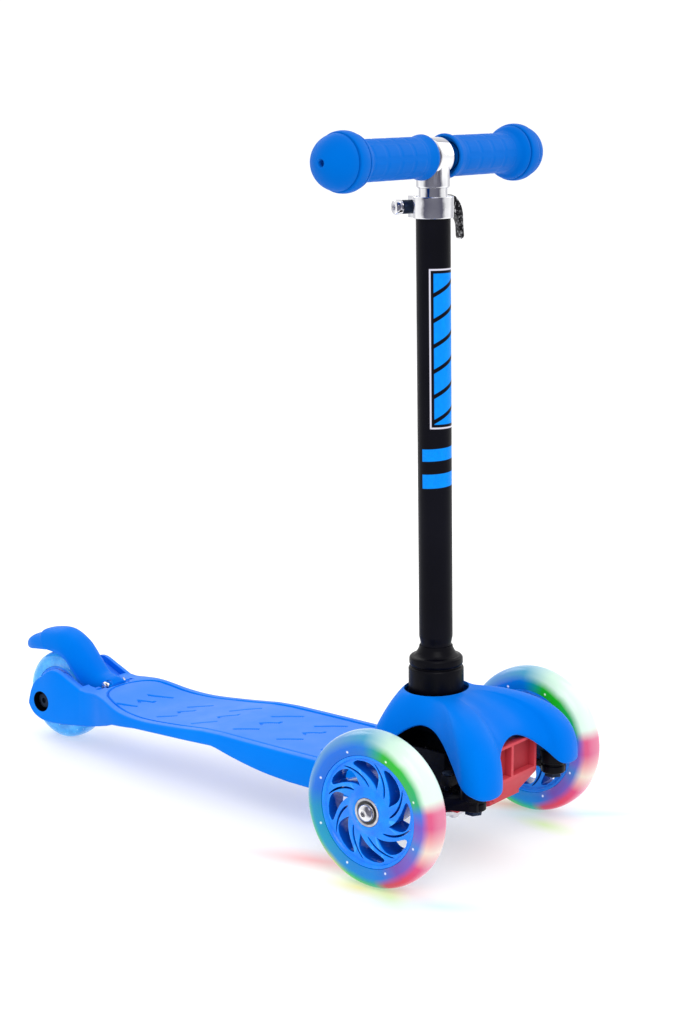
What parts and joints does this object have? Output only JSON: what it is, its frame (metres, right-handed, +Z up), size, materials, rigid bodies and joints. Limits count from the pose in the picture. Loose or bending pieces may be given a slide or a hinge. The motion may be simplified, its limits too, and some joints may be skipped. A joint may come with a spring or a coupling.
{
  "type": "kick scooter",
  "caption": "Three-wheeled child's kick scooter with a lean-to-steer column, light-up front wheels, height-adjustable handlebar and rear foot brake.",
  "frame": {"origin": "on the floor under the middle of the whole scooter", "axes": "+Z up, +X along the front axle, the scooter rolls forward towards -Y"},
  "size_m": [0.2632, 0.552, 0.5524],
  "materials": {
    "blue_plastic": "satin moulded",
    "blue_rubber": "soft moulded",
    "blue_core": "translucent gloss",
    "clear_tyre": "clear polyurethane",
    "blue_tyre": "translucent blue polyurethane",
    "red_plastic": "satin moulded",
    "black_plastic": "satin moulded",
    "black_paint": "satin",
    "steel": "zinc plated",
    "spring_steel": "drawn wire",
    "chrome": "polished",
    "copper": "enamelled wire"
  },
  "bodies": {
    "deck": {"deck": "blue_plastic", "bottom_plate": "steel", "plate_screw_1": "steel", "plate_screw_2": "steel", "plate_screw_3": "steel", "plate_screw_4": "steel", "front_bridge": "red_plastic", "steering_housing": "black_plastic", "front_cover": "blue_plastic", "lean_pin": "steel", "centring_spring_left": "spring_steel", "centring_spring_right": "spring_steel", "kingpin_left": "steel", "kingpin_right": "steel", "rear_axle": "steel", "rear_axle_nut": "steel", "rear_washer_left": "steel", "rear_washer_right": "steel", "brake_pin": "chrome", "brake_spring": "spring_steel"},
    "column": {"steering_head": "black_plastic", "base_collar": "black_plastic", "lower_tube": "black_paint", "clamp_collar": "chrome", "clamp_skewer": "steel", "clamp_nut": "chrome", "cam_washer": "chrome"},
    "handlebar": {"stem": "chrome", "stem_bushing": "black_plastic", "tee_joint": "chrome", "handle_tube": "chrome", "grip_left": "blue_rubber", "grip_right": "blue_rubber"},
    "cam_lever": {"cam_lever": "black_paint", "cam_pin": "chrome"},
    "tie_rod": {"tie_rod": "black_paint", "tie_rod_pin_left": "steel", "tie_rod_pin_right": "steel"},
    "knuckle_left": {"knuckle_left": "black_plastic", "front_axle_left": "chrome", "magnet_sleeve_left": "steel"},
    "knuckle_right": {"knuckle_right": "black_plastic", "front_axle_right": "chrome", "magnet_sleeve_right": "steel"},
    "front_wheel_left": {"front_tyre_left": "clear_tyre", "front_core_left": "blue_core", "front_bearing_outer_left": "steel", "front_bearing_inner_left": "steel", "light_coil_left": "copper"},
    "front_wheel_right": {"front_tyre_right": "clear_tyre", "front_core_right": "blue_core", "front_bearing_outer_right": "steel", "front_bearing_inner_right": "steel", "light_coil_right": "copper"},
    "rear_wheel": {"rear_tyre": "blue_tyre", "rear_core": "blue_core", "rear_bearing_left": "steel", "rear_bearing_right": "steel", "rear_spacer": "steel"},
    "brake": {"brake_fender": "blue_plastic"}
  },
  "joints": [
    {"name": "lean", "type": "hinge", "parent": "deck", "child": "column", "pos_m": [0, -0.18458, 0.104], "axis": [0, 1, 0], "range_deg": [-12, 12], "stiffness_Nm_per_rad": 25, "deforming": ["centring_spring_left", "centring_spring_right"]},
    {"name": "tie_rod_slide", "type": "slide", "parent": "deck", "child": "tie_rod", "axis": [1, 0, 0], "range_m": [-0.0066, 0.0066]},
    {"name": "steer_left", "type": "hinge", "parent": "deck", "child": "knuckle_left", "pos_m": [-0.054, -0.25658, 0.06], "axis": [0, 0, 1], "range_deg": [-15.5, 15.5]},
    {"name": "steer_right", "type": "hinge", "parent": "deck", "child": "knuckle_right", "pos_m": [0.054, -0.25658, 0.06], "axis": [0, 0, 1], "range_deg": [-15.5, 15.5]},
    {"name": "front_wheel_left_spin", "type": "hinge", "parent": "knuckle_left", "child": "front_wheel_left", "pos_m": [-0.1052, -0.20458, 0.06], "axis": [1, 0, 0], "continuous": true},
    {"name": "front_wheel_right_spin", "type": "hinge", "parent": "knuckle_right", "child": "front_wheel_right", "pos_m": [0.1052, -0.20458, 0.06], "axis": [1, 0, 0], "continuous": true},
    {"name": "rear_wheel_spin", "type": "hinge", "parent": "deck", "child": "rear_wheel", "pos_m": [0, 0.22882, 0.04], "axis": [1, 0, 0], "continuous": true},
    {"name": "brake_press", "type": "hinge", "parent": "deck", "child": "brake", "pos_m": [0, 0.16942, 0.0605], "axis": [-1, 0, 0], "range_deg": [0, 3], "stiffness_Nm_per_rad": 2, "springref_deg": -2.86},
    {"name": "handlebar_height", "type": "slide", "parent": "column", "child": "handlebar", "axis": [0, 0.0197, 0.9998], "range_m": [0, 0.12]},
    {"name": "cam_lever_open", "type": "hinge", "parent": "column", "child": "cam_lever", "pos_m": [0.02664, -0.16756, 0.49346], "axis": [-0.4226, -0.9061, 0.0179], "range_deg": [0, 95]}
  ],
  "couplings": [
    {"joint": "tie_rod_slide", "follows": "lean", "m_per_rad": -0.03},
    {"joint": "steer_left", "follows": "lean", "ratio": 1.25},
    {"joint": "steer_right", "follows": "lean", "ratio": 1.25}
  ]
}
